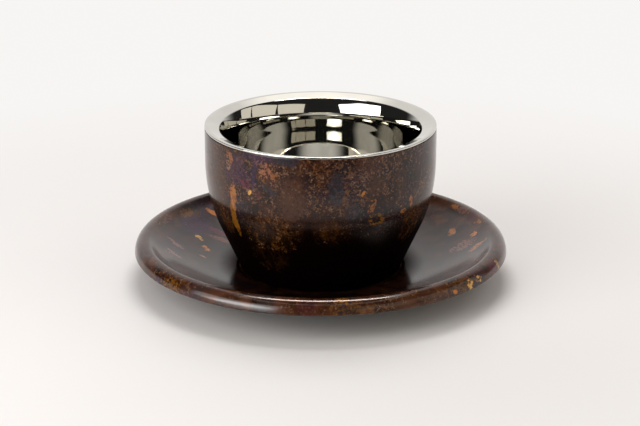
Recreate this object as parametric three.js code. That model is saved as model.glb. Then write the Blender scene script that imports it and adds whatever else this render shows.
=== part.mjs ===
// Cup with saucer: a double-walled insulated metal cup that stands in the well of a dished metal saucer.
// Millimetres, +Z up. The origin is the centre of the plane that the saucer stands on.
import * as THREE from "three";

const degrees = THREE.MathUtils.degToRad;

// Cup, overall
const CUP_RADIUS = 40; // outer face of the upright wall
const CUP_HEIGHT = 52; // foot to the top of the lip
const BAND_HEIGHT = 13; // upright part of the wall, lip included
const TAPER = degrees(24.5); // lean of the lower wall
const BELLY_ROUND = 55.5; // round between the upright wall and the taper

// Cup, sheets and the spaces between them
const SHELL_SHEET = 0.7;
const LINER_SHEET = 0.75;
const PAN_SHEET = 0.7;
const WELD_GAP = 0.05; // between two sheets that are welded face to face
const FLOOR_GAP = 4.9; // insulating space between the base pan and the liner's floor

// Lip and liner
const LAND_MARGIN = 0.5; // level part of the lip, beyond the edge of the shell that carries it
const LAND_ROUND = 2;
const LIP_WIDTH = 4.95; // outer edge of the lip to the bend into the throat
const LIP_FALL = 1.25; // drop of the lip from its outer edge to that bend
const LIP_BEND = 1.2;
const THROAT_RADIUS = 33; // inner face of the liner at its waist
const THROAT_LEAN = degrees(26.5); // lean of the throat just below the lip
const THROAT_ROUND = 24; // round from the throat into the neck
const NECK_LEAN = degrees(2.8); // lean of the neck, between the throat and the waist
const NECK_ROUND = 86; // round from the neck into the waist
const WAIST_DEPTH = 12.25; // top of the lip to the waist, where the liner's wall is upright
const LINER_ROUND = 51; // round from the waist into the liner's lower wall
const LINER_TAPER = degrees(11.7); // lean of the liner's lower wall
const LINER_FLOOR_ROUND = 8.4;

// Base of the cup
const SHELL_TOE = 0.5; // lower edge of the outer shell above the foot
const FOOT_WIDTH = 3.8; // level ring that the cup stands on, corners included
const FOOT_ROUND = 1.2;
const FOOT_FLARE = 1.8; // spread of the slope between the foot and the panel
const PANEL_RECESS = 2.5; // underside of the base panel above the foot
const LAP_HEIGHT = 4; // lap of the base pan inside the outer shell
const DIMPLE_RADIUS = 5.4;
const DIMPLE_DEPTH = 1;
const DIMPLE_FLARE = 1.2;
const PORT_RADIUS = 1.2; // pump hole in the dimple

// Seal of the pump hole, and the getter
const SEAL_GAP = 0.1;
const SEAL_RADIUS = 3.2;
const SEAL_BEAD = 0.7;
const SEAL_STEM = 0.3; // stem proud of the pan
const GETTER_LENGTH = 14;
const GETTER_WIDTH = 6;
const GETTER_HEIGHT = 1.6;
const GETTER_SPACING = 3; // dimple to the getter

// Saucer
const SAUCER_RADIUS = 65.2;
const SAUCER_SHEET = 1.2;
const RING_HEIGHT = 1.8; // foot ring under the saucer
const RING_WIDTH = 3;
const RING_ROUND = 0.7;
const RING_INSET = 0.2; // edge of the well to the foot ring
const WELL_MARGIN = 1; // cup's foot to the edge of the well
const WELL_DEPTH = 0.7;
const WELL_FLARE = 0.8;
const WELL_ROUND = 0.8;
const WELL_LIP_ROUND = 1.6;
const REST_GAP = 0.02; // between the cup's foot and the well
const FLOOR_LEAN = degrees(6); // slope of the dish next to the well
const FLOOR_ROUND = 55;
const RIM_WIDTH = 7.9; // outer edge to the crease between the rim and the dish
const RIM_TOP = 14.1; // top of the rim above the table
const RIM_STEP = 2.2; // top of the rim above the crease
const RIM_FLARE = 2.2; // spread of the rim's inner side
const RIM_EDGE = 9.5; // free edge of the turned-down rim above the table
const CREASE_ROUND = 8;
const RIM_INNER_ROUND = 4;
const RIM_OUTER_ROUND = 4;

// Facets
const CHORD_ERROR = 0.1; // of a round in a profile
const ROUND_STEPS = 44; // around the axis
const SMALL_STEPS = 24; // around the axis of a small piece

// Levels and radii that follow
const bellyCorner = CUP_HEIGHT - BAND_HEIGHT - BELLY_ROUND * Math.tan(TAPER / 2);
const linerFloor = PANEL_RECESS + PAN_SHEET + FLOOR_GAP + LINER_SHEET;
const shellRadius = (z) => CUP_RADIUS - (bellyCorner - z) * Math.tan(TAPER);
const panRadius = (z) => shellRadius(z) - (SHELL_SHEET + WELD_GAP) / Math.cos(TAPER);
const portLevel = PANEL_RECESS + DIMPLE_DEPTH;
const wellRadius = shellRadius(0) + WELL_MARGIN;
const wellLevel = RING_HEIGHT + SAUCER_SHEET;

const corner = (r, z, round = 0) => ({ place: new THREE.Vector2(r, z), round });

// How far each round reaches along its two sides. Rounds that share a short side are limited by it.
function roundReaches(corners) {
  const lengths = corners.slice(1).map(({ place }, i) => place.distanceTo(corners[i].place));
  const turns = corners.map(({ place }, i) => {
    if (i === 0 || i === corners.length - 1) return 0;
    const before = place.clone().sub(corners[i - 1].place);
    const after = corners[i + 1].place.clone().sub(place);
    return Math.atan2(before.cross(after), before.dot(after));
  });
  const wanted = corners.map(({ round }, i) => round * Math.tan(Math.abs(turns[i]) / 2));
  const share = (i) => Math.min(1, lengths[i] / Math.max(wanted[i] + wanted[i + 1], Number.EPSILON));
  const reaches = wanted.map((reach, i) => (turns[i] ? reach * Math.min(share(i - 1), share(i)) : 0));
  return { turns, reaches };
}

// A chain of corners with its rounds drawn as chords. Each point has the normal on the left of the way.
function roundedChain(corners) {
  const { turns, reaches } = roundReaches(corners);
  const chain = [];
  corners.forEach(({ place }, i) => {
    const from = corners[Math.max(i - 1, 0)].place;
    const to = corners[Math.max(i, 1)].place;
    const way = to.clone().sub(from).normalize();
    const left = new THREE.Vector2(-way.y, way.x);
    if (reaches[i] === 0) {
      chain.push({ place, left });
      return;
    }
    const radius = reaches[i] / Math.tan(Math.abs(turns[i]) / 2);
    const start = place.clone().addScaledVector(way, -reaches[i]);
    const centre = start.clone().addScaledVector(left, Math.sign(turns[i]) * radius);
    const steps = Math.ceil(Math.abs(turns[i]) / (2 * Math.acos(1 - CHORD_ERROR / radius)));
    for (let step = 0; step <= steps; step += 1) {
      const turn = (turns[i] * step) / steps;
      chain.push({
        place: start.clone().rotateAround(centre, turn),
        left: left.clone().rotateAround(new THREE.Vector2(), turn),
      });
    }
  });
  return chain;
}

// Revolve a profile about Z. It runs from axis to axis, or is closed here.
function revolve(profile, steps = ROUND_STEPS) {
  const points = profile[0].x === 0 ? [...profile] : [...profile, profile[0]];
  if (THREE.ShapeUtils.area(profile) < 0) points.reverse();
  return new THREE.LatheGeometry(points, steps).rotateX(Math.PI / 2);
}

// A revolved sheet of even thickness. The corners draw one face, and the other lies on its left.
function revolvedSheet(corners, thickness) {
  const chain = roundedChain(corners);
  const face = chain.map(({ place }) => place);
  const back = chain.map(({ place, left }) => place.clone().addScaledVector(left, thickness));
  return revolve([...face, ...back.reverse()]);
}

// A revolved solid section, drawn by its corners.
function revolvedSection(corners, steps) {
  return revolve(roundedChain(corners).map(({ place }) => place), steps);
}

// Finishes
const polishedSteel = () => new THREE.MeshStandardMaterial({ color: 0xc9c6bf, roughness: 0.06, metalness: 1 });
const bareSteel = () => new THREE.MeshStandardMaterial({ color: 0x9a9894, roughness: 0.35, metalness: 1 });
const patina = () => new THREE.MeshStandardMaterial({ color: 0x40261a, roughness: 0.25, metalness: 0.4 });
const solderGlass = () => new THREE.MeshStandardMaterial({ color: 0x5b5f63, roughness: 0.3, metalness: 0 });

function piece(name, geometry, material) {
  const mesh = new THREE.Mesh(geometry, material);
  mesh.name = name;
  return mesh;
}

// The liner and its lip are one drawn sheet. The lip lies on the edge of the outer shell.
function innerCup() {
  const bendRadius = CUP_RADIUS - LIP_WIDTH;
  const bendLevel = CUP_HEIGHT - LIP_FALL;
  const waistLevel = CUP_HEIGHT - WAIST_DEPTH;
  const neckLevel = waistLevel + NECK_ROUND * Math.tan(NECK_LEAN / 2);
  const linerCorner = waistLevel - LINER_ROUND * Math.tan(LINER_TAPER / 2);
  const floorRadius = THROAT_RADIUS - (linerCorner - linerFloor) * Math.tan(LINER_TAPER);
  const spread = bendRadius - THROAT_RADIUS - (bendLevel - neckLevel) * Math.tan(NECK_LEAN);
  const throatDepth = spread / (Math.tan(THROAT_LEAN) - Math.tan(NECK_LEAN));
  const seenFace = [
    corner(CUP_RADIUS, CUP_HEIGHT),
    corner(CUP_RADIUS - SHELL_SHEET - LAND_MARGIN, CUP_HEIGHT, LAND_ROUND),
    corner(bendRadius, bendLevel, LIP_BEND),
    corner(bendRadius - throatDepth * Math.tan(THROAT_LEAN), bendLevel - throatDepth, THROAT_ROUND),
    corner(THROAT_RADIUS, neckLevel, NECK_ROUND),
    corner(THROAT_RADIUS, linerCorner, LINER_ROUND),
    corner(floorRadius, linerFloor, LINER_FLOOR_ROUND),
    corner(0, linerFloor),
  ];
  return piece("inner_cup", revolvedSheet(seenFace.reverse(), -LINER_SHEET), polishedSteel());
}

function outerShell() {
  const seenFace = [
    corner(shellRadius(SHELL_TOE), SHELL_TOE),
    corner(CUP_RADIUS, bellyCorner, BELLY_ROUND),
    corner(CUP_RADIUS, CUP_HEIGHT - LINER_SHEET - WELD_GAP),
  ];
  return piece("outer_shell", revolvedSheet(seenFace, SHELL_SHEET), patina());
}

// The pan closes the outer shell, carries the cup on its level ring and holds the pump hole in a dimple.
function basePan() {
  const footRadius = panRadius(0);
  const underside = [
    corner(PORT_RADIUS, portLevel),
    corner(DIMPLE_RADIUS - DIMPLE_FLARE, portLevel, FOOT_ROUND),
    corner(DIMPLE_RADIUS, PANEL_RECESS, FOOT_ROUND),
    corner(footRadius - FOOT_WIDTH - FOOT_FLARE, PANEL_RECESS, FOOT_ROUND),
    corner(footRadius - FOOT_WIDTH, 0, FOOT_ROUND),
    corner(footRadius, 0, FOOT_ROUND),
    corner(panRadius(LAP_HEIGHT), LAP_HEIGHT),
  ];
  return piece("base_pan", revolvedSheet(underside, PAN_SHEET), bareSteel());
}

// A bead fills the dimple from below, with its stem through the pump hole.
function portSeal() {
  const stemRadius = PORT_RADIUS - SEAL_GAP;
  const beadTop = portLevel - SEAL_GAP;
  const section = [
    corner(0, beadTop - SEAL_BEAD),
    corner(SEAL_RADIUS, beadTop - SEAL_BEAD, SEAL_BEAD),
    corner(SEAL_RADIUS, beadTop),
    corner(stemRadius, beadTop),
    corner(stemRadius, portLevel + PAN_SHEET + SEAL_STEM),
    corner(0, portLevel + PAN_SHEET + SEAL_STEM),
  ];
  return piece("port_seal", revolvedSection(section, SMALL_STEPS), solderGlass());
}

// The getter is a capsule that lies on the base panel, in the sealed space.
function getter() {
  const end = GETTER_WIDTH / 2;
  const straight = GETTER_LENGTH / 2 - end;
  const outline = new THREE.Shape();
  outline.absarc(0, straight, end, 0, Math.PI);
  outline.absarc(0, -straight, end, Math.PI, 2 * Math.PI);
  const capsule = new THREE.ExtrudeGeometry(outline, {
    depth: GETTER_HEIGHT,
    bevelEnabled: false,
    curveSegments: SMALL_STEPS / 2,
  });
  const mesh = piece("getter", capsule, bareSteel());
  mesh.position.set(DIMPLE_RADIUS + GETTER_SPACING + end, 0, PANEL_RECESS + PAN_SHEET + WELD_GAP);
  return mesh;
}

// The saucer is one pressed sheet: a level well, a dished floor and a rim that is turned over and down.
function saucerDish() {
  const wellLip = { r: wellRadius + WELL_FLARE, z: wellLevel + WELL_DEPTH };
  const crease = { r: SAUCER_RADIUS - RIM_WIDTH, z: RIM_TOP - RIM_STEP };
  const floorRadius = (wellLip.r + crease.r) / 2;
  const floorLevel = wellLip.z + (floorRadius - wellLip.r) * Math.tan(FLOOR_LEAN);
  const topFace = [
    corner(0, wellLevel),
    corner(wellRadius, wellLevel, WELL_ROUND),
    corner(wellLip.r, wellLip.z, WELL_LIP_ROUND),
    corner(floorRadius, floorLevel, FLOOR_ROUND),
    corner(crease.r, crease.z, CREASE_ROUND),
    corner(crease.r + RIM_FLARE, RIM_TOP, RIM_INNER_ROUND),
    corner(SAUCER_RADIUS, RIM_TOP, RIM_OUTER_ROUND),
    corner(SAUCER_RADIUS, RIM_EDGE),
  ];
  return piece("saucer_dish", revolvedSheet(topFace, -SAUCER_SHEET), patina());
}

function saucerFootRing() {
  const outer = wellRadius - RING_INSET;
  const inner = outer - RING_WIDTH;
  const top = RING_HEIGHT - WELD_GAP;
  const section = [
    corner(inner, top),
    corner(inner, 0, RING_ROUND),
    corner(outer, 0, RING_ROUND),
    corner(outer, top),
  ];
  return piece("saucer_foot_ring", revolvedSection(section), patina());
}

const cup = new THREE.Group();
cup.add(innerCup(), outerShell(), basePan(), portSeal(), getter());
cup.position.z = wellLevel + REST_GAP;

const cupWithSaucer = new THREE.Group();
cupWithSaucer.add(saucerDish(), saucerFootRing(), cup);

export default cupWithSaucer;
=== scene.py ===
"""A double-walled steel cup on its saucer: smooth meshes, patina, steel and a plain studio."""

import logging
import math
from dataclasses import dataclass
from enum import Enum
from typing import Mapping, Optional, Sequence, Union

import bmesh
import bpy
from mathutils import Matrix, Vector


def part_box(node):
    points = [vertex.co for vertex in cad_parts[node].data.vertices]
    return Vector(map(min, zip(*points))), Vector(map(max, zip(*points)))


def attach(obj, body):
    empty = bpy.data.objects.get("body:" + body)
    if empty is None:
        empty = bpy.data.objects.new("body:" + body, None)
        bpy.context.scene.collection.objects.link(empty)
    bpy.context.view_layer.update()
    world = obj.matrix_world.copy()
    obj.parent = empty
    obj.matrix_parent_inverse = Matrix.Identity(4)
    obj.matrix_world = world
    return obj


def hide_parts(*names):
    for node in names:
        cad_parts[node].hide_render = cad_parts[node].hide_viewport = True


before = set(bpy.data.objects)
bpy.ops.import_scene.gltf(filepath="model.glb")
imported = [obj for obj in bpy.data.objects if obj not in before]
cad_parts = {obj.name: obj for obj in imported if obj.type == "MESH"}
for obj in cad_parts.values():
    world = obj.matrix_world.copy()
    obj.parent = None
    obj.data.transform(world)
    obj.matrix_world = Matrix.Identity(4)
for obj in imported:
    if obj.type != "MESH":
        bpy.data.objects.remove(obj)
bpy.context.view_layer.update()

LOG = logging.getLogger("cup_with_saucer")
MM = 0.001
IMAGE_WIDTH = 640
SECTORS = 12
SECTOR_STEPS = 16
ARC_STEP = math.radians(4)
LINE_STEP = 0.8
MERGE_DISTANCE = 1e-7

Feed = Union["Value", float, int, Sequence[float]]
Colour = tuple[float, float, float]


class Slot(Enum):
    """The record's material slots."""

    POLISHED_STEEL = "polished_steel"
    PATINA = "patina"
    BARE_STEEL = "bare_steel"
    SEAL = "seal"


class Body(Enum):
    """The bodies that move apart."""

    CUP = "cup"
    SAUCER = "saucer"


class Lie(Enum):
    """How the marks of a patina lie: upright on a wall, or flat on a dish."""

    WALL = "wall"
    DISH = "dish"


class Edge(Enum):
    """How the outline of a mark in a patina runs."""

    EVEN = "even"
    WAVY = "wavy"
    RAGGED = "ragged"


class Tone(Enum):
    """The colours that single marks in the patina have."""

    # Black: dark patches of the patina, and also painted shade and painted dark reflection round the cup's
    # foot and under it on the saucer.
    BLACK_AND_SHADE = (0.0025, 0.0008, 0.0005)
    UMBER = (0.062, 0.024, 0.012)
    RUST = (0.070, 0.024, 0.003)
    VIOLET = (0.046, 0.018, 0.052)
    PLUM = (0.100, 0.018, 0.034)
    SLATE = (0.020, 0.021, 0.030)
    ROSE = (0.26, 0.105, 0.080)
    OCHRE = (0.30, 0.115, 0.006)
    ORANGE = (0.50, 0.165, 0.025)
    GOLD = (0.66, 0.36, 0.085)


def in_metres(lengths: Sequence[float]) -> list[float]:
    """Returns lengths that are given in millimetres in metres."""
    return [length * MM for length in lengths]


@dataclass(frozen=True)
class Cloud:
    """A cloudy noise.

    Attributes:
        size: width of its clouds, in millimetres.
        seed: any number; noises with other seeds look unlike.
        detail: how many finer octaves it holds.
        levels: values between which what it steers goes from none to full.
    """

    size: float
    seed: float
    detail: float = 2.0
    levels: tuple[float, float] = (0.0, 1.0)


class Value:
    """One output of a shader node, on which Python's operators work by adding Math nodes."""

    def __init__(self, graph: "Graph", socket: bpy.types.NodeSocket) -> None:
        """Keeps the graph and the socket that the value stands for."""
        self.graph = graph
        self.socket = socket

    def other(self, name: str) -> "Value":
        """Returns another output of the same node."""
        return Value(self.graph, self.socket.node.outputs[name])

    def _math(self, operation: str, first: Feed, second: Feed) -> "Value":
        """Returns the result of a Math node on two values."""
        return self.graph.add("ShaderNodeMath", {"operation": operation}, {0: first, 1: second})

    def __add__(self, other: Feed) -> "Value":
        """Returns self + other."""
        return self._math("ADD", self, other)

    __radd__ = __add__

    def __sub__(self, other: Feed) -> "Value":
        """Returns self - other."""
        return self._math("SUBTRACT", self, other)

    def __rsub__(self, other: Feed) -> "Value":
        """Returns other - self."""
        return self._math("SUBTRACT", other, self)

    def __mul__(self, other: Feed) -> "Value":
        """Returns self * other."""
        return self._math("MULTIPLY", self, other)

    __rmul__ = __mul__

    def __or__(self, other: Feed) -> "Value":
        """Returns the larger of two masks, so that a | b covers what either covers."""
        return self._math("MAXIMUM", self, other)

    def step(self, low: float, high: float) -> "Value":
        """Goes smoothly from 0 to 1.

        Args:
            low: where it is 0.
            high: where it is 1, which may be less than low.

        Returns:
            The smoothed value.
        """
        return self.graph.add(
            "ShaderNodeMapRange",
            {"interpolation_type": "SMOOTHSTEP"},
            {"Value": self, "From Min": low, "From Max": high},
        )


class Graph:
    """The node tree of one material or world."""

    def __init__(self, tree: bpy.types.NodeTree) -> None:
        """Empties the tree that is to be filled."""
        self.tree = tree
        tree.nodes.clear()

    @classmethod
    def of_material(cls, name: str) -> "Graph":
        """Returns the graph of a new material, which is found again by its name."""
        material = bpy.data.materials.new(name)
        material.use_nodes = True
        return cls(material.node_tree)

    def add(
        self,
        kind: str,
        settings: Optional[Mapping[str, object]] = None,
        sockets: Optional[Mapping[Union[str, int], Feed]] = None,
        output: Union[str, int] = 0,
    ) -> Optional[Value]:
        """Adds a node, sets it up and feeds its sockets.

        Args:
            kind: the node's type.
            settings: properties of the node, set before its sockets.
            sockets: input names or numbers, each with a value to link or a constant.
            output: the name or number of the output to return.

        Returns:
            The chosen output, or None for a node that has no outputs.
        """
        node = self.tree.nodes.new(kind)
        for name, setting in (settings or {}).items():
            setattr(node, name, setting)
        for name, feed in (sockets or {}).items():
            socket = node.inputs[name]
            if isinstance(feed, Value):
                self.tree.links.new(feed.socket, socket)
            elif socket.type == "RGBA":
                socket.default_value = (*feed, 1)
            else:
                socket.default_value = feed
        return Value(self, node.outputs[output]) if node.outputs else None

    def mix(self, factor: Feed, first: Feed, second: Feed) -> Value:
        """Returns a colour that goes from first to second as the factor goes from 0 to 1."""
        return self.add("ShaderNodeMix", {"data_type": "RGBA"}, {0: factor, 6: first, 7: second}, 2)

    def vector(self, operation: str, first: Feed, second: Feed) -> Value:
        """Works on two vectors.

        Args:
            operation: what the Vector Math node does.
            first: a vector.
            second: another, which a length leaves out of account.

        Returns:
            The resulting vector or number.
        """
        settings = {"operation": operation}
        output = "Value" if operation in ("LENGTH", "DOT_PRODUCT") else "Vector"
        return self.add("ShaderNodeVectorMath", settings, {0: first, 1: second}, output)

    def place(self) -> Value:
        """Returns the point on the piece, in metres in the object's own frame."""
        return self.add("ShaderNodeTexCoord", output="Object")

    def noise(self, place: Value, cloud: Cloud, seed: float = 0.0) -> Value:
        """Adds a cloudy noise.

        Args:
            place: where it is read.
            cloud: its size, seed and octaves.
            seed: what is added to its seed.

        Returns:
            The noise's value, about 0.5 on average, whose node also has a Color output.
        """
        scale = 1 / (cloud.size * MM)
        sockets = {"Vector": place, "W": cloud.seed + seed, "Scale": scale, "Detail": cloud.detail}
        return self.add("ShaderNodeTexNoise", {"noise_dimensions": "4D"}, sockets)

    def patches(self, place: Value, cloud: Cloud, seed: float = 0.0) -> Value:
        """Returns a noise as a mask, which rises from 0 to 1 between the cloud's levels."""
        return self.noise(place, cloud, seed).step(*cloud.levels)

    def finish(self, sockets: Mapping[str, Feed]) -> bpy.types.Material:
        """Ends the tree in a Principled shader.

        Args:
            sockets: inputs of the shader, each with a value to link or a constant.

        Returns:
            The material that owns the tree.
        """
        shader = self.add("ShaderNodeBsdfPrincipled", sockets=sockets)
        self.add("ShaderNodeOutputMaterial", sockets={"Surface": shader})
        return next(m for m in bpy.data.materials if m.node_tree == self.tree)


@dataclass(frozen=True)
class Mark:
    """One patch in a patina.

    Attributes:
        tone: its colour.
        azimuth: degrees round from the front, to the right.
        place: height on a wall, or distance from the axis on a dish, in millimetres.
        across: half its width round the piece, in millimetres.
        along: half its length up the wall or out from the axis, in millimetres.
        lean: degrees by which its length leans.
        strength: how much of the ground it covers.
        broken: how much the grain breaks it up; with it the outline goes from even to ragged.
        hollow: whether only its outline shows.
        lie: how it lies, where that isn't as the patina's other marks do.
        depth: half its reach through the surface, in millimetres.
    """

    tone: Tone
    azimuth: float
    place: float
    across: float
    along: float
    lean: float = 0.0
    strength: float = 1.0
    broken: float = 5.0
    hollow: bool = False
    lie: Optional[Lie] = None
    depth: float = 15.0

    @property
    def edge(self) -> Edge:
        """How its outline runs: the more it is broken up, the less evenly."""
        if self.broken < 1:
            return Edge.EVEN
        return Edge.WAVY if self.broken <= 3 else Edge.RAGGED


@dataclass(frozen=True)
class Patina:
    """Dark brown mottle with grains, haze and orange-gold flecks under a clear gloss lacquer, blackened in
    places by painted shade.

    Attributes:
        name: the material's name.
        lie: how its marks lie.
        marks: single patches that stand out.
        ground_shade_levels: heights between which the ground goes from black to its colour, in millimetres;
            painted shade that darkens the lower wall towards the foot.
        grain_shade_levels: heights between which the grains begin, in millimetres; painted shade that fades
            them out towards the foot.
        wall_radius: distance from the axis at which a wall's marks lie, in millimetres.
        dish_level: height at which a dish's marks lie, in millimetres.
        grain_radius: distance from the axis at which grains begin, in millimetres.
        grain_cover: noise levels between which grains come to lie close; lower levels cover more.
        seed: any number; patinas with other seeds look unlike.
        lacquer_ior: refractive index of the clear lacquer.
        lacquer_levels: heights between which the lacquer goes from thin to full, in millimetres.
    """

    name: str
    lie: Lie
    marks: tuple[Mark, ...]
    ground_shade_levels: tuple[float, float]
    grain_shade_levels: tuple[float, float]
    wall_radius: float
    dish_level: float = 8.0
    grain_radius: float = 0.0
    grain_cover: tuple[float, float] = (0.30, 0.58)
    seed: float = 0.0
    lacquer_ior: float = 1.42
    lacquer_levels: tuple[float, float] = (-2.0, -1.0)

    slot = Slot.PATINA
    black: Colour = Tone.BLACK_AND_SHADE.value
    deep: Colour = (0.016, 0.0050, 0.0024)
    brown: Colour = (0.052, 0.0175, 0.0085)
    amber: Colour = (0.120, 0.044, 0.013)
    sand: Colour = (0.150, 0.078, 0.046)
    cream: Colour = (0.34, 0.24, 0.17)
    violet: Colour = (0.026, 0.013, 0.024)
    slate: Colour = (0.019, 0.017, 0.019)
    ragged: float = 4.0
    wavy: float = 2.0
    thin_lacquer: float = 0.06
    lacquer_roughness: float = 0.16
    matt: float = 0.6
    glint_gloss: float = 0.15
    glint_metal: float = 0.4

    ground_tones = (Tone.UMBER, Tone.RUST, Tone.BLACK_AND_SHADE)
    glint_tones = (Tone.ORANGE, Tone.GOLD)
    drift = Cloud(5, 1, 4.0, (0.34, 0.66))
    haze = Cloud(15, 2, 2.0, (0.48, 0.66))
    haze_strength = 0.75
    tint = Cloud(8, 3, 2.0, (0.42, 0.58))
    wobble = Cloud(4, 4, 6.0)
    coarse = Cloud(1.2, 5, 3.0)
    fine = Cloud(0.58, 6, 2.0)
    fine_share = 0.45
    zone = Cloud(12, 7, 3.0)
    warmth = Cloud(2.6, 8, 2.0, (0.38, 0.62))
    spots = Cloud(2.8, 9, 2.0, (0.765, 0.80))
    spot_strength = 0.8
    streaks = Cloud(2.2, 10, 3.0, (0.40, 0.58))
    streak_stretch = (1, 1, 0.25)
    rust_between = 0.15
    grain_fade = 5.0
    grain_edge = (0.56, 0.68)
    grain_strength = 0.92
    zone_gain = 0.10
    cream_edge = (0.65, 0.73)
    cream_strength = 0.8
    pit_edge = (0.44, 0.33)
    pit_strength = 0.9
    mark_fall = (1.3, 0.4)
    mark_edge = (0.35, 1.05)
    hollow_edge = (0.35, 0.65)
    hollow_gain = 1.4

    def _places(self, graph: Graph) -> dict[Edge, Value]:
        """Finds where the patterns are read.

        Args:
            graph: the material's graph.

        Returns:
            The point on the piece, as it is and shaken for wavy and for ragged edges.
        """
        place = graph.place()
        wobble = graph.noise(place, self.wobble, self.seed).other("Color")
        shift = graph.vector("SUBTRACT", wobble, (0.5, 0.5, 0.5))
        places = {Edge.EVEN: place}
        for edge, reach in ((Edge.WAVY, self.wavy), (Edge.RAGGED, self.ragged)):
            shaken = graph.vector("MULTIPLY", shift, [reach * MM] * 3)
            places[edge] = graph.vector("ADD", place, shaken)
        return places

    def _mark_mask(self, graph: Graph, places: Mapping[Edge, Value], grain: Value, mark: Mark) -> Value:
        """Draws one mark.

        Args:
            graph: the material's graph.
            places: where the patterns are read.
            grain: the grain that breaks the mark up.
            mark: the mark.

        Returns:
            Its mask, which is its strength at its middle and 0 outside.
        """
        angle = math.radians(mark.azimuth)
        lean = math.radians(mark.lean)
        if (mark.lie or self.lie) is Lie.WALL:
            out, level = self.wall_radius, mark.place
            size = (mark.across, mark.depth, mark.along)
            turn = (0, lean, angle)
        else:
            out, level = mark.place, self.dish_level
            size = (mark.across, mark.along, mark.depth)
            turn = (0, 0, angle + lean)
        centre = (out * math.sin(angle), -out * math.cos(angle), level)
        local = graph.add(
            "ShaderNodeMapping",
            {"vector_type": "TEXTURE"},
            {
                "Vector": places[mark.edge],
                "Location": in_metres(centre),
                "Rotation": turn,
                "Scale": in_metres(size),
            },
        )
        away = graph.vector("LENGTH", local, (0, 0, 0))
        mask = away.step(*self.mark_fall)
        if mark.hollow:
            mask = mask * away.step(*self.hollow_edge) * self.hollow_gain
        return (mask * ((grain - 0.5) * mark.broken + 1)).step(*self.mark_edge) * mark.strength

    def _cover(self, graph: Graph, places: Mapping[Edge, Value], grain: Value, tone: Tone) -> Feed:
        """Draws all marks of one tone.

        Args:
            graph: the material's graph.
            places: where the patterns are read.
            grain: the grain that breaks the marks up.
            tone: the tone.

        Returns:
            The mask of the marks, which is 0 where there are none.
        """
        cover = 0.0
        for mark in self.marks:
            if mark.tone is tone:
                cover = self._mark_mask(graph, places, grain, mark) | cover
        return cover

    def _ground(self, graph: Graph, place: Value) -> Value:
        """Mottles the ground.

        Args:
            graph: the material's graph.
            place: where the patterns are read.

        Returns:
            The colour under the grains, hazed with violet and slate in places.
        """
        drift, haze, tint = (
            graph.patches(place, cloud, self.seed) for cloud in (self.drift, self.haze, self.tint)
        )
        ground = graph.mix(drift, self.deep, self.brown)
        hue = graph.mix(tint, self.violet, self.slate)
        return graph.mix(haze * self.haze_strength, ground, hue)

    def material(self) -> bpy.types.Material:
        """Mixes the patina from the ground up: ground, painted shade, stains, grains, flecks, marks and
        lacquer.

        Returns:
            The new material.
        """
        graph = Graph.of_material(self.name)
        places = self._places(graph)
        place, ragged = places[Edge.EVEN], places[Edge.RAGGED]
        height = graph.add("ShaderNodeSeparateXYZ", sockets={"Vector": ragged}, output="Z")
        radius = graph.vector("LENGTH", graph.vector("MULTIPLY", ragged, (1, 1, 0)), (0, 0, 0))
        fine = graph.noise(place, self.fine, self.seed)
        coarse = graph.noise(place, self.coarse, self.seed)
        grain = coarse * (1 - self.fine_share) + fine * self.fine_share
        warmth = graph.patches(place, self.warmth, self.seed)

        drawn_out = graph.vector("MULTIPLY", place, self.streak_stretch)
        streaks = graph.patches(drawn_out, self.streaks, self.seed)
        # The black marks are partly painted shade; under them the grains stop.
        smooth, rusty, black_and_shade = (self._cover(graph, places, grain, tone) for tone in self.ground_tones)
        rusty = rusty * (streaks * (1 - self.rust_between) + self.rust_between)
        # Painted shade: the ground goes black towards the foot, where the lower wall lies in shade.
        lit = height.step(*in_metres(self.ground_shade_levels))
        colour = graph.mix(lit, self.black, self._ground(graph, place))
        for tone, cover in zip(self.ground_tones, (smooth, rusty, black_and_shade)):
            colour = graph.mix(cover, colour, tone.value)

        outer = radius.step(*in_metres((self.grain_radius - self.grain_fade, self.grain_radius)))
        # Painted shade: the grains fade out towards the foot.
        rough = (height.step(*in_metres(self.grain_shade_levels)) | rusty) * outer * (1 - black_and_shade)
        zone = graph.noise(place, self.zone, self.seed).step(*self.grain_cover)
        zone = (zone | rusty) * (1 - smooth) * rough
        grains = (grain + zone * self.zone_gain).step(*self.grain_edge) * rough
        pale = fine.step(*self.cream_edge) * zone
        pits = fine.step(*self.pit_edge) * zone
        colour = graph.mix(grains * self.grain_strength, colour, graph.mix(warmth, self.amber, self.sand))
        colour = graph.mix(pale * self.cream_strength, colour, self.cream)
        colour = graph.mix(pits * self.pit_strength, colour, self.black)

        glints = graph.patches(ragged, self.spots, self.seed)
        orange = graph.mix(warmth, *(tone.value for tone in self.glint_tones))
        colour = graph.mix(glints * self.spot_strength, colour, orange)
        for tone in Tone:
            if tone in self.ground_tones:
                continue
            cover = self._cover(graph, places, grain, tone)
            colour = graph.mix(cover, colour, tone.value)
            if tone in self.glint_tones:
                glints = glints | cover
        level = graph.add("ShaderNodeSeparateXYZ", sockets={"Vector": place}, output="Z")
        lacquer = level.step(*in_metres(self.lacquer_levels))
        return graph.finish(
            {
                "Base Color": colour,
                "Metallic": glints * self.glint_metal,
                "Roughness": self.matt - glints * self.glint_gloss,
                "Specular IOR Level": 0.0,
                "Coat Weight": lacquer * (1 - self.thin_lacquer) + self.thin_lacquer,
                "Coat Roughness": self.lacquer_roughness,
                "Coat IOR": self.lacquer_ior,
            }
        )


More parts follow.
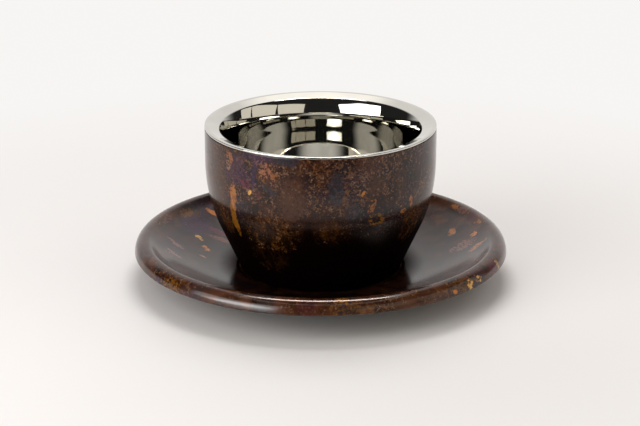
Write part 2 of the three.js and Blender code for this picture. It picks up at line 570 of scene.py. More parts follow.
@dataclass(frozen=True)
class MirrorSteel:
    """Polished stainless steel, with the faint unevenness of buffing."""

    name: str = "mirror_steel"
    slot = Slot.POLISHED_STEEL
    colour: Colour = (0.65, 0.638, 0.59)
    worn_colour: Colour = (0.61, 0.598, 0.555)
    roughness: float = 0.015
    haze_roughness: float = 0.03
    buff = Cloud(9, 1, 2.0, (0.35, 0.65))
    haze = Cloud(1.5, 2, 2.0)

    def material(self) -> bpy.types.Material:
        """Returns the polished steel as a new material."""
        graph = Graph.of_material(self.name)
        place = graph.place()
        worn = graph.patches(place, self.buff)
        haze = graph.noise(place, self.haze)
        return graph.finish(
            {
                "Base Color": graph.mix(worn, self.colour, self.worn_colour),
                "Metallic": 1.0,
                "Roughness": haze * self.haze_roughness + self.roughness,
            }
        )


@dataclass(frozen=True)
class SatinSteel:
    """Drawn steel left satin, with fine rings from the turning of the tool."""

    name: str = "satin_steel"
    slot = Slot.BARE_STEEL
    colour: Colour = (0.44, 0.43, 0.42)
    dull_colour: Colour = (0.36, 0.35, 0.34)
    roughness: float = 0.22
    ring_roughness: float = 0.15
    stain_roughness: float = 0.1
    ring_strength: float = 0.25
    ring_depth: float = 2e-5
    rings = Cloud(0.35, 3, 2.0)
    stain = Cloud(8, 4, 3.0, (0.35, 0.7))

    def material(self) -> bpy.types.Material:
        """Returns the satin steel as a new material."""
        graph = Graph.of_material(self.name)
        place = graph.place()
        radius = graph.vector("LENGTH", graph.vector("MULTIPLY", place, (1, 1, 0)), (0, 0, 0))
        across = graph.add("ShaderNodeCombineXYZ", sockets={"X": radius})
        rings = graph.noise(across, self.rings)
        stain = graph.noise(place, self.stain)
        relief = {"Strength": self.ring_strength, "Distance": self.ring_depth, "Height": rings}
        return graph.finish(
            {
                "Base Color": graph.mix(stain.step(*self.stain.levels), self.colour, self.dull_colour),
                "Metallic": 1.0,
                "Roughness": rings * self.ring_roughness + stain * self.stain_roughness + self.roughness,
                "Normal": graph.add("ShaderNodeBump", sockets=relief),
            }
        )


@dataclass(frozen=True)
class SealGlass:
    """Dark solder glass that closes the pump hole, a little cloudy."""

    name: str = "solder_glass"
    slot = Slot.SEAL
    colour: Colour = (0.12, 0.12, 0.13)
    cloud_colour: Colour = (0.2, 0.2, 0.21)
    roughness: float = 0.08
    cloud_roughness: float = 0.2
    cloud = Cloud(1.2, 5, 3.0, (0.4, 0.7))

    def material(self) -> bpy.types.Material:
        """Returns the solder glass as a new material."""
        graph = Graph.of_material(self.name)
        cloud = graph.noise(graph.place(), self.cloud)
        return graph.finish(
            {
                "Base Color": graph.mix(cloud.step(*self.cloud.levels), self.colour, self.cloud_colour),
                "Roughness": cloud * self.cloud_roughness + self.roughness,
            }
        )


Finish = Union[Patina, MirrorSteel, SatinSteel, SealGlass]


@dataclass(frozen=True)
class Corner:
    """A corner of a section, in millimetres: radius, height and the round that softens it."""

    r: float
    z: float
    round: float = 0.0

    @property
    def point(self) -> Vector:
        """The corner's place in the section."""
        return Vector((self.r, self.z))


def left_of(direction: Vector) -> Vector:
    """Returns the direction turned a quarter to the left."""
    return Vector((-direction.y, direction.x))


class Section:
    """Half of a turned piece's cross-section: straight lines and arcs, turned about Z to a mesh."""

    def __init__(self, corners: Sequence[Corner]) -> None:
        """Keeps the corners. An outline that starts on the axis ends there too; any other closes."""
        self.corners = list(corners)
        self.closed = corners[0].r > 0

    @classmethod
    def of_sheet(cls, face: Sequence[Corner], thickness: float, edge_round: float) -> "Section":
        """Makes the section of a bent sheet.

        Args:
            face: corners of one face, with the sheet on their left.
            thickness: the sheet's thickness.
            edge_round: the round on the sheet's cut edges.

        Returns:
            The section, with both faces and the cut edges.
        """
        line = cls(face)
        line.closed = False
        back = []
        for index, corner in enumerate(face):
            into, out, turn = line._turn(index)
            sideways = left_of(into) + left_of(out)
            moved = corner.point + sideways * (2 * thickness / sideways.length_squared)
            tightened = corner.round - math.copysign(thickness, turn)
            back.append(Corner(moved.x, moved.y, max(tightened, 0) if corner.round else 0))
        face = list(face)
        for end in (0, -1):
            if face[end].r > 0:
                face[end] = Corner(face[end].r, face[end].z, edge_round)
                back[end] = Corner(back[end].r, back[end].z, edge_round)
        if face[-1].r > 0:
            return cls(face + back[::-1])
        return cls(back[::-1] + face)

    def _turn(self, index: int) -> tuple[Vector, Vector, float]:
        """Looks along the outline at a corner.

        Args:
            index: the corner's number.

        Returns:
            The directions into and out of the corner, and the angle turned to the left there.
        """
        count = len(self.corners)
        first = not self.closed and index == 0
        last = not self.closed and index == count - 1
        here, before, after = (self.corners[(index + k) % count].point for k in (0, -1, 1))
        into = (after - here if first else here - before).normalized()
        out = (here - before if last else after - here).normalized()
        return into, out, -into.angle_signed(out)

    def _reaches(self) -> list[float]:
        """Fits the rounds to the sides that they share.

        Returns:
            How far each round reaches along its sides, cut where neighbours would meet.
        """
        count = len(self.corners)
        wanted = [
            corner.round * abs(math.tan(self._turn(index)[2] / 2))
            for index, corner in enumerate(self.corners)
        ]
        share = [1.0] * count
        for index in range(count if self.closed else count - 1):
            other = (index + 1) % count
            length = (self.corners[other].point - self.corners[index].point).length
            if wanted[index] + wanted[other] > length:
                fit = length / (wanted[index] + wanted[other])
                share[index] = min(share[index], fit)
                share[other] = min(share[other], fit)
        return [reach * part for reach, part in zip(wanted, share)]

    def _outline(self) -> bmesh.types.BMesh:
        """Draws the outline.

        Returns:
            A bmesh that holds it as a chain of edges in the XZ plane.
        """
        bm = bmesh.new()
        tip = None
        for index, (corner, reach) in enumerate(zip(self.corners, self._reaches())):
            into, _, turn = self._turn(index)
            start = corner.point - into * reach
            spot = Vector((start.x, 0, start.y)) * MM
            tip = self._line(bm, tip, spot)
            if reach > 0:
                radius = reach / math.tan(turn / 2)
                centre = start + left_of(into) * radius
                steps = max(2, math.ceil(abs(turn) / ARC_STEP), math.ceil(abs(turn * radius) / LINE_STEP))
                swept = bmesh.ops.spin(
                    bm,
                    geom=[tip],
                    cent=Vector((centre.x, 0, centre.y)) * MM,
                    axis=(0, -1, 0),
                    angle=turn,
                    steps=steps,
                )
                tip = next(e for e in swept["geom_last"] if isinstance(e, bmesh.types.BMVert))
        if self.closed:
            bm.verts.ensure_lookup_table()
            self._line(bm, tip, bm.verts[0].co.copy())
        while long := [edge for edge in bm.edges if edge.calc_length() > LINE_STEP * MM]:
            bmesh.ops.subdivide_edges(bm, edges=long, cuts=1)
        return bm

    @staticmethod
    def _line(bm: bmesh.types.BMesh, tip: Optional[bmesh.types.BMVert], spot: Vector) -> bmesh.types.BMVert:
        """Draws a straight stretch.

        Args:
            bm: the outline.
            tip: where the outline has got to, or None at its start.
            spot: where the stretch ends.

        Returns:
            The new end of the outline.
        """
        if tip is None:
            return bmesh.ops.create_vert(bm, co=spot)["vert"][0]
        if (spot - tip.co).length < MERGE_DISTANCE:
            return tip
        end = bmesh.ops.extrude_vert_indiv(bm, verts=[tip])["verts"][0]
        end.co = spot
        return end

    def turned(self, name: str) -> bpy.types.Object:
        """Turns the section all the way round.

        Args:
            name: the new piece's name.

        Returns:
            The piece, smooth-shaded, with its faces outwards.
        """
        bm = self._outline()
        about = {"cent": (0, 0, 0), "axis": (0, 0, 1)}
        sector = math.tau / SECTORS
        bmesh.ops.spin(bm, geom=bm.verts[:] + bm.edges[:], angle=sector, steps=SECTOR_STEPS, **about)
        bmesh.ops.spin(
            bm,
            geom=bm.verts[:] + bm.edges[:] + bm.faces[:],
            angle=math.tau - sector,
            steps=SECTORS - 1,
            use_duplicate=True,
            **about,
        )
        bmesh.ops.remove_doubles(bm, verts=bm.verts, dist=MERGE_DISTANCE)
        bmesh.ops.recalc_face_normals(bm, faces=bm.faces)
        mesh = bpy.data.meshes.new(name)
        bm.to_mesh(mesh)
        bm.free()
        mesh.shade_smooth()
        piece = bpy.data.objects.new(name, mesh)
        bpy.context.scene.collection.objects.link(piece)
        return piece


def dress(piece: bpy.types.Object, finish: Finish, body: Body, node: str) -> None:
    """Gives a new piece its finish, its body and the node that it stands for.

    Args:
        piece: the piece.
        finish: what it is finished with.
        body: the body that it moves with.
        node: the node that it replaces.
    """
    piece.data.materials.append(finish.material())
    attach(piece, body.value)
    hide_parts(node)
    LOG.info("%s: %d faces, %s", piece.name, len(piece.data.polygons), finish.name)


def redress(node: str, finish: Finish) -> None:
    """Gives a node that is kept as it is a better finish.

    Args:
        node: the node's name.
        finish: what it is finished with.
    """
    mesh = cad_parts[node].data
    mesh.materials.clear()
    mesh.materials.append(finish.material())
    LOG.info("%s: kept, %s", node, finish.name)


@dataclass
class Cup:
    """The cup: liner with its lip, patinated shell, base pan and what seals it, in millimetres.

    Attributes:
        radius: outside radius of the upright wall.
        foot: level of the foot.
        height: from the foot to the top of the lip.
    """

    radius: float
    foot: float
    height: float
    band_height: float = 13.0
    taper: float = math.radians(24.5)
    belly_round: float = 55.5
    shell_sheet: float = 0.7
    liner_sheet: float = 0.75
    pan_sheet: float = 0.7
    weld_gap: float = 0.05
    floor_gap: float = 4.9
    land_margin: float = 0.5
    land_round: float = 2.0
    lip_width: float = 4.95
    lip_fall: float = 1.25
    lip_bend: float = 1.2
    throat_radius: float = 33.0
    throat_lean: float = math.radians(26.5)
    throat_round: float = 24.0
    neck_lean: float = math.radians(2.8)
    neck_round: float = 86.0
    waist_depth: float = 12.25
    liner_round: float = 51.0
    liner_taper: float = math.radians(11.7)
    liner_floor_round: float = 8.4
    shell_toe: float = 0.5
    foot_width: float = 3.8
    foot_round: float = 1.2
    foot_flare: float = 1.8
    panel_recess: float = 2.5
    lap_height: float = 4.0
    dimple_radius: float = 5.4
    dimple_depth: float = 1.0
    dimple_flare: float = 1.2
    port_radius: float = 1.2
    edge_round: float = 0.25

    @classmethod
    def from_frame(cls) -> "Cup":
        """Returns the cup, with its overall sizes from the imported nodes."""
        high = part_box("inner_cup")[1]
        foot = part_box("base_pan")[0].z / MM
        return cls(radius=high.x / MM, foot=foot, height=high.z / MM - foot)

    def _belly_corner(self) -> float:
        """Returns the level at which the shell's upright wall and its taper would meet unrounded."""
        return self.height - self.band_height - self.belly_round * math.tan(self.taper / 2)

    def _shell_radius(self, z: float) -> float:
        """Returns the shell's outside radius at a level of its taper."""
        return self.radius - (self._belly_corner() - z) * math.tan(self.taper)

    def _pan_radius(self, z: float) -> float:
        """Returns the pan's outside radius where it laps the shell's taper."""
        return self._shell_radius(z) - (self.shell_sheet + self.weld_gap) / math.cos(self.taper)

    def _raised(self, corners: Sequence[Corner]) -> list[Corner]:
        """Returns the corners, given from the foot up, at their level in the frame."""
        return [Corner(c.r, c.z + self.foot, c.round) for c in corners]

    def liner(self) -> Section:
        """Returns the section of the liner: lip, throat, belly and floor."""
        land = self.radius - self.shell_sheet - self.land_margin
        bend_radius = self.radius - self.lip_width
        bend_level = self.height - self.lip_fall
        waist = self.height - self.waist_depth
        neck_level = waist + self.neck_round * math.tan(self.neck_lean / 2)
        corner_level = waist - self.liner_round * math.tan(self.liner_taper / 2)
        throat_slope, neck_slope = math.tan(self.throat_lean), math.tan(self.neck_lean)
        spread = bend_radius - self.throat_radius - (bend_level - neck_level) * neck_slope
        throat_level = bend_level - spread / (throat_slope - neck_slope)
        throat_radius = bend_radius - (bend_level - throat_level) * throat_slope
        floor = self.panel_recess + self.pan_sheet + self.floor_gap + self.liner_sheet
        floor_radius = self.throat_radius - (corner_level - floor) * math.tan(self.liner_taper)
        face = [
            Corner(self.radius, self.height),
            Corner(land, self.height, self.land_round),
            Corner(bend_radius, bend_level, self.lip_bend),
            Corner(throat_radius, throat_level, self.throat_round),
            Corner(self.throat_radius, neck_level, self.neck_round),
            Corner(self.throat_radius, corner_level, self.liner_round),
            Corner(floor_radius, floor, self.liner_floor_round),
            Corner(0, floor),
        ]
        return Section.of_sheet(self._raised(face), self.liner_sheet, self.edge_round)

    def shell(self) -> Section:
        """Returns the section of the shell: taper, belly and upright band."""
        face = [
            Corner(self._shell_radius(self.shell_toe), self.shell_toe),
            Corner(self.radius, self._belly_corner(), self.belly_round),
            Corner(self.radius, self.height - self.liner_sheet - self.weld_gap),
        ]
        return Section.of_sheet(self._raised(face), self.shell_sheet, self.edge_round)

    def pan(self) -> Section:
        """Returns the section of the base pan: dimple, panel, foot and lap."""
        port_level = self.panel_recess + self.dimple_depth
        foot_inner = self._pan_radius(0) - self.foot_width
        face = [
            Corner(self.port_radius, port_level),
            Corner(self.dimple_radius - self.dimple_flare, port_level, self.foot_round),
            Corner(self.dimple_radius, self.panel_recess, self.foot_round),
            Corner(foot_inner - self.foot_flare, self.panel_recess, self.foot_round),
            Corner(foot_inner, 0, self.foot_round),
            Corner(self._pan_radius(0), 0, self.foot_round),
            Corner(self._pan_radius(self.lap_height), self.lap_height),
        ]
        return Section.of_sheet(self._raised(face), self.pan_sheet, self.edge_round)

    def patina(self) -> Patina:
        """Returns the shell's patina, with the marks that stand out on its wall."""
        return Patina(
            "cup_patina",
            Lie.WALL,
            (
                # Black marks low on the wall: painted shade where the lower wall lies in shade over the
                # saucer.
                Mark(Tone.BLACK_AND_SHADE, -6, 24, 2.2, 11, 0, 0.8, 3.0),
                Mark(Tone.BLACK_AND_SHADE, -50, 20, 3.0, 7.0, 0, 0.7, 3.0),
                Mark(Tone.UMBER, -14, 40, 6.5, 11, 6, 1.0, 3.0),
                Mark(Tone.UMBER, -58, 42, 7.5, 14, 0, 0.8, 3.0),
                Mark(Tone.UMBER, 27, 44, 3.5, 5.0, 20, 0.7, 4.0),
                Mark(Tone.UMBER, 42, 43, 4.0, 6.0, 0, 0.6, 4.0),
                Mark(Tone.RUST, -27, 27, 11.0, 11.0, 0, 0.75, 5.0),
                Mark(Tone.RUST, 5, 29, 5.0, 6.0, 0, 0.5, 5.0),
                Mark(Tone.RUST, -27.5, 48.5, 4.6, 6.0, -20, 0.9, 6.0),
                Mark(Tone.RUST, -10, 51, 9.0, 2.6, 8, 0.7, 6.0),
                Mark(Tone.RUST, -30, 18, 9.0, 10.0, 0, 0.2, 7.0),
                Mark(Tone.RUST, 54, 27, 7.0, 10.0, 0, 0.6, 3.0),
                Mark(Tone.RUST, -58, 27, 5.0, 8.0, 0, 0.45, 3.0),
                Mark(Tone.VIOLET, -45, 47, 7.5, 7.0, 0, 0.5, 4.0),
                Mark(Tone.VIOLET, -33.6, 47, 1.1, 7.5, 4, 0.75, 4.0),
                Mark(Tone.VIOLET, -32, 53, 9.0, 1.8, 0, 0.6, 4.0),
                Mark(Tone.PLUM, -39, 43.4, 3.0, 1.7, 15, 0.85, 4.0),
                Mark(Tone.PLUM, -31, 40.5, 0.8, 1.8, 35, 0.6, 6.0),
                Mark(Tone.SLATE, -16, 53, 6.0, 2.2, 0, 0.8, 4.0),
                Mark(Tone.SLATE, 7.3, 44, 3.4, 8.0, 0, 0.75, 5.0),
                Mark(Tone.SLATE, 16, 35.5, 4.0, 5.0, 0, 0.6, 5.0),
                Mark(Tone.SLATE, -25, 42.5, 3.6, 2.2, 20, 0.6, 5.0),
                Mark(Tone.OCHRE, -49, 29.5, 1.8, 8.5, -3, 0.6, 3.5),
                Mark(Tone.ORANGE, -47.7, 37, 2.0, 6.0, 3, 0.5, 3.5),
                Mark(Tone.ROSE, -28, 50, 3.0, 4.5, -30, 0.42, 16.0),
                Mark(Tone.ORANGE, -25, 48, 4.0, 4.0, 0, 0.18, 16.0),
                Mark(Tone.ROSE, -37.5, 41.3, 0.5, 2.0, -45, 0.5, 2.0),
                Mark(Tone.GOLD, -36.2, 40.6, 0.8, 1.3, 40, 0.9, 3.0),
                Mark(Tone.ORANGE, -49.5, 50.5, 2.0, 2.8, -25, 0.4, 9.0),
                Mark(Tone.GOLD, -50.7, 47.6, 1.4, 1.8, 0, 0.25, 9.0),
                Mark(Tone.ORANGE, 21, 41.7, 0.6, 1.6, 25, 0.9, 2.0),
                Mark(Tone.ORANGE, 25.6, 37.0, 1.6, 3.6, 10, 0.45, 16.0),
                Mark(Tone.OCHRE, 28.4, 31.6, 3.2, 2.6, 0, 0.45, 9.0, True),
                Mark(Tone.ORANGE, 44.9, 32.4, 1.6, 1.4, 0, 0.6, 3.0),
                Mark(Tone.ORANGE, 50.0, 35.3, 1.1, 2.8, -15, 0.6, 4.0),
            ),
            # Painted shade: ground and grains darken towards the foot.
            ground_shade_levels=(23.0, 41.0),
            grain_shade_levels=(20.0, 40.0),
            wall_radius=38.0,
            lacquer_ior=1.38,
            lacquer_levels=(20.0, 37.0),
        )

    def build(self) -> None:
        """Makes and dresses the cup's pieces."""
        satin = SatinSteel()
        dress(self.liner().turned("steel_liner"), MirrorSteel(), Body.CUP, "inner_cup")
        dress(self.shell().turned("patinated_shell"), self.patina(), Body.CUP, "outer_shell")
        dress(self.pan().turned("foot_pan"), satin, Body.CUP, "base_pan")
        redress("port_seal", SealGlass())
        redress("getter", satin)


@dataclass
class Saucer:
    """The saucer: a dished sheet with a turned-over rim, on a foot ring, in millimetres.

    Attributes:
        radius: outside radius of the rim.
        rim_top: level of the rim's crest.
        ring_radius: outside radius of the foot ring.
        ring_top: level of the foot ring's top.
    """

    radius: float
    rim_top: float
    ring_radius: float
    ring_top: float
    sheet: float = 1.2
    weld_gap: float = 0.05
    ring_width: float = 3.0
    ring_round: float = 0.7
    ring_inset: float = 0.2
    well_depth: float = 0.7
    well_flare: float = 0.8
    well_round: float = 0.8
    well_lip_round: float = 1.6
    floor_lean: float = math.radians(6)
    floor_round: float = 55.0
    rim_width: float = 7.9
    rim_step: float = 2.2
    rim_flare: float = 3.0
    rim_edge: float = 9.5
    rim_lean: float = math.radians(11)
    crease_round: float = 12.0
    rim_inner_round: float = 2.7
    rim_outer_round: float = 4.0
    edge_round: float = 0.4

    @classmethod
    def from_frame(cls) -> "Saucer":
        """Returns the saucer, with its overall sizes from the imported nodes."""
        dish_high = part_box("saucer_dish")[1]
        ring_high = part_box("saucer_foot_ring")[1]
        return cls(dish_high.x / MM, dish_high.z / MM, ring_high.x / MM, ring_high.z / MM)

    def dish(self) -> Section:
        """Returns the section of the dish: rim, sloping floor and the well for the cup."""
        well_level = self.ring_top + self.weld_gap + self.sheet
        well_radius = self.ring_radius + self.ring_inset
        lip_radius = well_radius + self.well_flare
        lip_level = well_level + self.well_depth
        crease_radius = self.radius - self.rim_width
        middle = (lip_radius + crease_radius) / 2
        shoulder = self.radius - (self.rim_top - self.rim_edge) * math.tan(self.rim_lean)
        face = [
            Corner(self.radius, self.rim_edge),
            Corner(shoulder, self.rim_top, self.rim_outer_round),
            Corner(crease_radius + self.rim_flare, self.rim_top, self.rim_inner_round),
            Corner(crease_radius, self.rim_top - self.rim_step, self.crease_round),
            Corner(middle, lip_level + (middle - lip_radius) * math.tan(self.floor_lean), self.floor_round),
            Corner(lip_radius, lip_level, self.well_lip_round),
            Corner(well_radius, well_level, self.well_round),
            Corner(0, well_level),
        ]
        return Section.of_sheet(face, self.sheet, self.edge_round)

    def foot_ring(self) -> Section:
        """Returns the section of the foot ring, rounded where it stands."""
        inner = self.ring_radius - self.ring_width
        return Section(
            [
                Corner(inner, 0, self.ring_round),
                Corner(self.ring_radius, 0, self.ring_round),
                Corner(self.ring_radius, self.ring_top),
                Corner(inner, self.ring_top),
            ]
        )

    def patina(self) -> Patina:
        """Returns the saucer's patina, with the marks that stand out on its face."""
        rim = {"lie": Lie.WALL, "depth": 4.0}
        return Patina(
            "saucer_patina",
            Lie.DISH,
            (
                # Painted shade and painted reflection: the middle of the dish, its floor before the cup and
                # a patch behind the cup at the back left are blackened where the cup shades them and shows
                # dark in them.
                Mark(Tone.BLACK_AND_SHADE, 0, 0, 60, 60, 0, 0.85, 0.0),
                Mark(Tone.BLACK_AND_SHADE, 2, 42, 42, 22, 0, 0.9, 0.0),
                Mark(Tone.BLACK_AND_SHADE, -135, 60, 9.0, 4.0, 0, 0.6, 4.0),
                Mark(Tone.UMBER, -60, 61, 7.0, 3.0, 0, 0.6, 3.0),
                Mark(Tone.RUST, -122, 56, 5.0, 3.0, 0, 0.7, 5.0),
                Mark(Tone.RUST, -105, 60, 8.0, 3.0, 0, 0.7, 5.0),
                Mark(Tone.RUST, 135, 60, 9.0, 4.0, 0, 0.7, 5.0),
                Mark(Tone.RUST, -48, 13, 13.0, 5.5, 0, 0.7, 4.0, **rim),
                Mark(Tone.RUST, -3, 12, 12.0, 4.5, 0, 0.35, 7.0, **rim),
                Mark(Tone.RUST, 28, 13, 18.0, 5.5, 0, 0.5, 6.0, **rim),
                Mark(Tone.SLATE, -110, 40, 3.4, 3.0, 20, 0.5, 2.0),
                Mark(Tone.PLUM, -123, 43.5, 2.4, 6.5, 0, 0.8, 3.0),
                Mark(Tone.PLUM, 112, 59, 4.0, 2.0, 0, 0.6, 5.0),
                Mark(Tone.PLUM, 66, 12, 5.0, 4.0, 0, 0.6, 4.0, **rim),
                Mark(Tone.PLUM, -4, 12, 5.0, 3.5, 0, 0.25, 4.0, **rim),
                Mark(Tone.VIOLET, -118, 51, 9.0, 7.0, 0, 0.6, 3.0),
                Mark(Tone.VIOLET, -57, 10, 2.5, 2.5, 0, 0.5, 4.0, **rim),
                Mark(Tone.ROSE, -84, 51.5, 1.3, 4.8, -50, 0.85, 3.0),
                Mark(Tone.ROSE, -95, 51.5, 1.7, 4.8, -35, 0.7, 4.0),
                Mark(Tone.ROSE, -118, 40.5, 2.2, 6.0, 10, 0.45, 3.0),
                Mark(Tone.ROSE, 94, 50.5, 4.5, 5.5, 35, 0.6, 8.0),
                Mark(Tone.ROSE, 119, 59, 6.0, 1.6, 0, 0.6, 8.0),
                Mark(Tone.ROSE, -110, 59, 6.0, 1.6, 0, 0.4, 8.0),
                Mark(Tone.OCHRE, -121, 57, 4.5, 2.2, 0, 0.25, 8.0),
                Mark(Tone.OCHRE, 6, 62.5, 3.2, 2.2, 0, 0.7, 9.0),
                Mark(Tone.OCHRE, 9, 12, 9.0, 3.0, 0, 0.22, 14.0, **rim),
                Mark(Tone.OCHRE, -50, 11, 6.0, 3.0, 0, 0.28, 14.0, **rim),
                Mark(Tone.ORANGE, 87.7, 55.0, 2.0, 5.0, 45, 0.6, 5.0),
                Mark(Tone.ORANGE, -131.8, 53.2, 1.7, 3.8, 20, 0.8, 3.0),
                Mark(Tone.GOLD, -110.4, 46.3, 1.4, 2.6, -40, 0.7, 4.0),
                Mark(Tone.ORANGE, -102.5, 41.5, 1.5, 2.6, -40, 0.8, 6.0),
                Mark(Tone.ORANGE, -91.5, 41.7, 1.0, 2.0, -40, 0.6),
                Mark(Tone.ORANGE, 110.4, 50.6, 1.6, 3.6, 55, 0.65, 4.0),
                Mark(Tone.ORANGE, 100, 55.5, 1.2, 2.6, 65, 0.8, 4.0),
                Mark(Tone.ORANGE, 123.2, 59.3, 2.6, 1.4, 0, 0.7),
                Mark(Tone.ORANGE, 106, 59, 2.2, 1.2, 0, 0.5, 8.0),
                Mark(Tone.GOLD, 50.1, 11.6, 1.7, 1.7, 0, 0.9, 11.0, **rim),
                Mark(Tone.GOLD, 54.9, 12.1, 1.8, 1.5, 0, 0.8, 11.0, **rim),
                Mark(Tone.OCHRE, 45, 12, 11.0, 3.0, 0, 0.25, 14.0, **rim),
                Mark(Tone.GOLD, 68.8, 11.8, 1.6, 2.0, 0, 0.45, 8.0, **rim),
                Mark(Tone.ORANGE, 43.3, 11.0, 1.4, 1.0, 0, 0.95, 3.0, **rim),
            ),
            ground_shade_levels=(-2.0, -1.0),
            grain_shade_levels=(-2.0, -1.0),
            wall_radius=65.0,
            grain_radius=61.0,
            grain_cover=(0.48, 0.70),
            seed=40.0,
            brown=(0.085, 0.030, 0.014),
            lacquer_levels=(3.6, 4.6),
        )

    def build(self) -> None:
        """Makes and dresses the saucer's pieces."""
        patina = self.patina()
        dress(self.dish().turned("patinated_dish"), patina, Body.SAUCER, "saucer_dish")
        dress(self.foot_ring().turned("dish_foot_ring"), patina, Body.SAUCER, "saucer_foot_ring")


def direction(azimuth: float, elevation: float) -> Vector:
    """Returns where something stands, seen from the object.

    Args:
        azimuth: degrees round from the camera's side, to the camera's right.
        elevation: degrees above the floor.

    Returns:
        The unit direction towards it.
    """
    a, e = math.radians(azimuth), math.radians(elevation)
    return Vector((math.sin(a) * math.cos(e), -math.cos(a) * math.cos(e), math.sin(e)))


@dataclass(frozen=True)
class Softbox:
    """A rectangular lamp that faces the object.

    Attributes:
        name: the lamp's name.
        azimuth: degrees round from the camera's side, to the camera's right.
        elevation: degrees above the floor.
        width: how wide it looks from the object, in degrees.
        height: how high it looks from the object, in degrees.
        radiance: how bright its face is, where 1 is white.
        colour: the colour of its light.
        distance: how far it stands from the object, in metres.
        mirrored: whether it shows in reflections.
    """

    name: str
    azimuth: float
    elevation: float
    width: float
    height: float
    radiance: float
    colour: Colour = (1.0, 1.0, 1.0)
    distance: float = 0.47
    mirrored: bool = True
    watts_per_radiance = 4.0

    def build(self, target: Vector) -> None:
        """Stands the lamp up.

        Args:
            target: the place that it is aimed at, in metres.
        """
        lamp = bpy.data.lights.new(self.name, "AREA")
        lamp.shape = "RECTANGLE"
        lamp.size = 2 * self.distance * math.tan(math.radians(self.width / 2))
        lamp.size_y = 2 * self.distance * math.tan(math.radians(self.height / 2))
        lamp.energy = self.watts_per_radiance * lamp.size * lamp.size_y * self.radiance
        lamp.color = self.colour
        stand = bpy.data.objects.new(self.name, lamp)
        towards = direction(self.azimuth, self.elevation)
        stand.location = target + towards * self.distance
        stand.rotation_euler = towards.to_track_quat("Z", "Y").to_euler()
        stand.visible_camera = False
        stand.visible_glossy = self.mirrored
        bpy.context.scene.collection.objects.link(stand)
        LOG.info("%s: %.0f W", self.name, lamp.energy)


@dataclass(frozen=True)
class Glow:
    """A bright patch of the room that only reflections show.

    Attributes:
        azimuth: degrees round from the camera's side, to the camera's right.
        elevation: degrees above the floor.
        colour: its light.
        edge: cosines of the angles from its middle between which it begins.
        band: for a level band, sines of the angles above and below its middle between which it begins.
    """

    azimuth: float
    elevation: float
    colour: Colour
    edge: tuple[float, float]
    band: Optional[tuple[float, float]] = None

    def mask(self, graph: Graph, ray: Value) -> Value:
        """Finds the glow in the room.

        Args:
            graph: the world's graph.
            ray: the direction that is looked in.

        Returns:
            1 in the glow and 0 beside it.
        """
        ahead = direction(self.azimuth, self.elevation)
        mask = graph.vector("DOT_PRODUCT", ray, ahead).step(*self.edge)
        if self.band:
            begin, full = self.band
            below = direction(self.azimuth, self.elevation - 90)
            under = graph.vector("DOT_PRODUCT", ray, below)
            mask = mask * under.step(begin, full) * under.step(-begin, -full)
        return mask


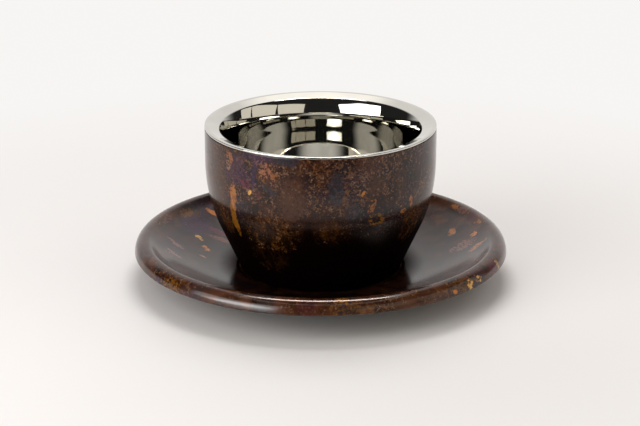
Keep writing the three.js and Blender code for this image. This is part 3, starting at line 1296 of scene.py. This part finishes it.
@dataclass
class Studio:
    """Pale floor, backdrop, softboxes and the camera, in metres and degrees.

    Attributes:
        backdrop: colour of the backdrop, as the camera and reflections show it.
        backdrop_light: the light that the backdrop sheds on matt surfaces.
        backdrop_spread: tangent of the angle to which the backdrop reaches on either side.
        backdrop_edge: how softly its sides end.
        backdrop_top: sines of the elevations between which it ends and is full.
        ceiling_light: the light that the ceiling sheds on matt surfaces.
        ceiling_edge: sines of the elevations between which the ceiling begins.
        strip_colour: colour of a bright strip round the ceiling, which reflections show.
        strip_bottom: sines of the elevations between which the strip begins.
        strip_top: sines of the elevations between which it ends, from above.
        room: colour of the rest of the room.
        fade_start: distance from the object at which the floor begins to fade into the backdrop.
        fade_end: distance at which it has faded.
        front_start: place before the object at which the floor begins to turn dark in reflections.
        front_end: place at which it is dark.
    """

    floor_radius: float = 4.0
    floor_colour: Colour = (0.865, 0.85, 0.84)
    backdrop: Colour = (0.935, 0.915, 0.90)
    backdrop_light: Colour = (1.10, 1.0, 0.96)
    backdrop_spread: float = math.tan(math.radians(63))
    backdrop_edge: float = 1.3
    backdrop_top: tuple[float, float] = (0.87, 0.64)
    ceiling_light: Colour = (0.42, 0.39, 0.37)
    ceiling_edge: tuple[float, float] = (0.82, 0.89)
    strip_colour: Colour = (3.0, 2.9, 2.7)
    strip_bottom: tuple[float, float] = (0.895, 0.905)
    strip_top: tuple[float, float] = (0.93, 0.92)
    room: Colour = (0.02, 0.02, 0.02)
    glows: tuple[Glow, ...] = (
        Glow(178, 57, (1.5, 1.45, 1.4), (0.927, 0.985)),
        Glow(178, 69, (45.0, 38.0, 34.0), (0.955, 0.985), band=(0.08, 0.03)),
        Glow(-49, 4, (12.0, 12.0, 12.0), (0.90, 0.985)),
    )
    fade_start: float = 0.10
    fade_end: float = 0.26
    front_start: float = -0.13
    front_end: float = -0.20
    target: Vector = Vector((0, 0, 0.03))
    camera_place: Vector = Vector((-0.0002, -0.6775, 0.2585))
    camera_pitch: float = 19.24
    focal_pixels: float = 2050.0
    sensor_width: float = 36.0
    lamps: tuple[Softbox, ...] = (
        Softbox("key_softbox", -51, 14.3, 52, 32.4, 2.8, (1.0, 0.98, 0.96)),
        Softbox("key_top", -51, 42, 52, 22, 1.3, (1.0, 0.98, 0.96), mirrored=False),
        Softbox("fill_top", 85, 42, 52, 22, 0.8, (1.0, 0.98, 0.96), mirrored=False),
        Softbox("back_softbox", 178, 60, 34, 24, 5.1, distance=0.55, mirrored=False),
        Softbox("near_reflector", 37.3, 14.1, 32.3, 32.0, 0.68, (1.0, 0.93, 0.80)),
        Softbox("middle_reflector", 74.2, 14.1, 33.0, 32.0, 0.68, (1.0, 0.93, 0.80)),
        Softbox("far_reflector", 101.4, 14.1, 15.4, 32.0, 0.68, (1.0, 0.93, 0.80)),
    )

    def _floor(self) -> None:
        """Lays the floor, which fades into the backdrop; reflections show it dark before the object."""
        bm = bmesh.new()
        bmesh.ops.create_circle(bm, cap_ends=True, segments=SECTORS * SECTOR_STEPS, radius=self.floor_radius)
        mesh = bpy.data.meshes.new("studio_floor")
        bm.to_mesh(mesh)
        bm.free()
        floor = bpy.data.objects.new("studio_floor", mesh)
        bpy.context.scene.collection.objects.link(floor)
        graph = Graph.of_material("pale_floor")
        place = graph.place()
        away = graph.vector("LENGTH", place, (0, 0, 0)).step(self.fade_start, self.fade_end)
        depth = graph.add("ShaderNodeSeparateXYZ", sockets={"Vector": place}, output="Y")
        rays = graph.add("ShaderNodeLightPath", output="Is Camera Ray")
        mirrored = rays.other("Is Glossy Ray")
        front = depth.step(self.front_start, self.front_end) * mirrored
        paper = graph.add("ShaderNodeBsdfDiffuse", sockets={"Color": self.floor_colour})
        glow = graph.add("ShaderNodeEmission", sockets={"Color": self.backdrop})
        dark = graph.add("ShaderNodeEmission", sockets={"Color": self.room})
        blend = graph.add("ShaderNodeMixShader", sockets={0: away * (rays | mirrored), 1: paper, 2: glow})
        blend = graph.add("ShaderNodeMixShader", sockets={0: front, 1: blend, 2: dark})
        graph.add("ShaderNodeOutputMaterial", sockets={"Surface": blend})
        mesh.materials.append(bpy.data.materials["pale_floor"])

    def _world(self) -> None:
        """Hangs a pale backdrop behind the object, in a dim room; the camera sees only the backdrop."""
        world = bpy.data.worlds.new("studio")
        world.use_nodes = True
        bpy.context.scene.world = world
        graph = Graph(world.node_tree)
        ray = graph.add("ShaderNodeTexCoord", output="Generated")
        parts = graph.add("ShaderNodeSeparateXYZ", sockets={"Vector": ray})
        rise = parts.other("Z")
        depth = parts.other("Y") * self.backdrop_spread
        left, right = (side.step(0, self.backdrop_edge) for side in (depth + parts, depth - parts))
        behind = left * right * rise.step(*self.backdrop_top)
        shed = graph.mix(behind, self.room, self.backdrop_light)
        shed = graph.mix(rise.step(*self.ceiling_edge), shed, self.ceiling_light)
        strip = rise.step(*self.strip_bottom) * rise.step(*self.strip_top)
        shown = graph.mix(behind, self.room, self.backdrop)
        shown = graph.mix(strip, shown, self.strip_colour)
        for glow in self.glows:
            shown = graph.mix(glow.mask(graph, ray), shown, glow.colour)
        rays = graph.add("ShaderNodeLightPath", output="Is Camera Ray")
        around = graph.mix(rays.other("Is Glossy Ray"), shed, shown)
        colour = graph.mix(rays, around, self.backdrop)
        sky = graph.add("ShaderNodeBackground", sockets={"Color": colour})
        graph.add("ShaderNodeOutputWorld", sockets={"Surface": sky})

    def _camera(self) -> None:
        """Stands the camera where the photograph was taken from."""
        data = bpy.data.cameras.new("camera")
        data.sensor_width = self.sensor_width
        data.lens = self.focal_pixels * self.sensor_width / IMAGE_WIDTH
        camera = bpy.data.objects.new("camera", data)
        camera.location = self.camera_place
        camera.rotation_euler = (math.radians(90 - self.camera_pitch), 0, 0)
        bpy.context.scene.collection.objects.link(camera)
        bpy.context.scene.camera = camera

    def build(self) -> None:
        """Sets up the camera, the floor, the backdrop and the lamps."""
        bpy.context.scene.view_settings.view_transform = "Standard"
        self._camera()
        self._floor()
        self._world()
        for lamp in self.lamps:
            lamp.build(self.target)


def main() -> None:
    """Builds the studio, the saucer and the cup."""
    logging.basicConfig(level=logging.INFO, format="%(name)s %(message)s")
    Studio().build()
    Saucer.from_frame().build()
    Cup.from_frame().build()


if __name__ == "__main__":
    main()
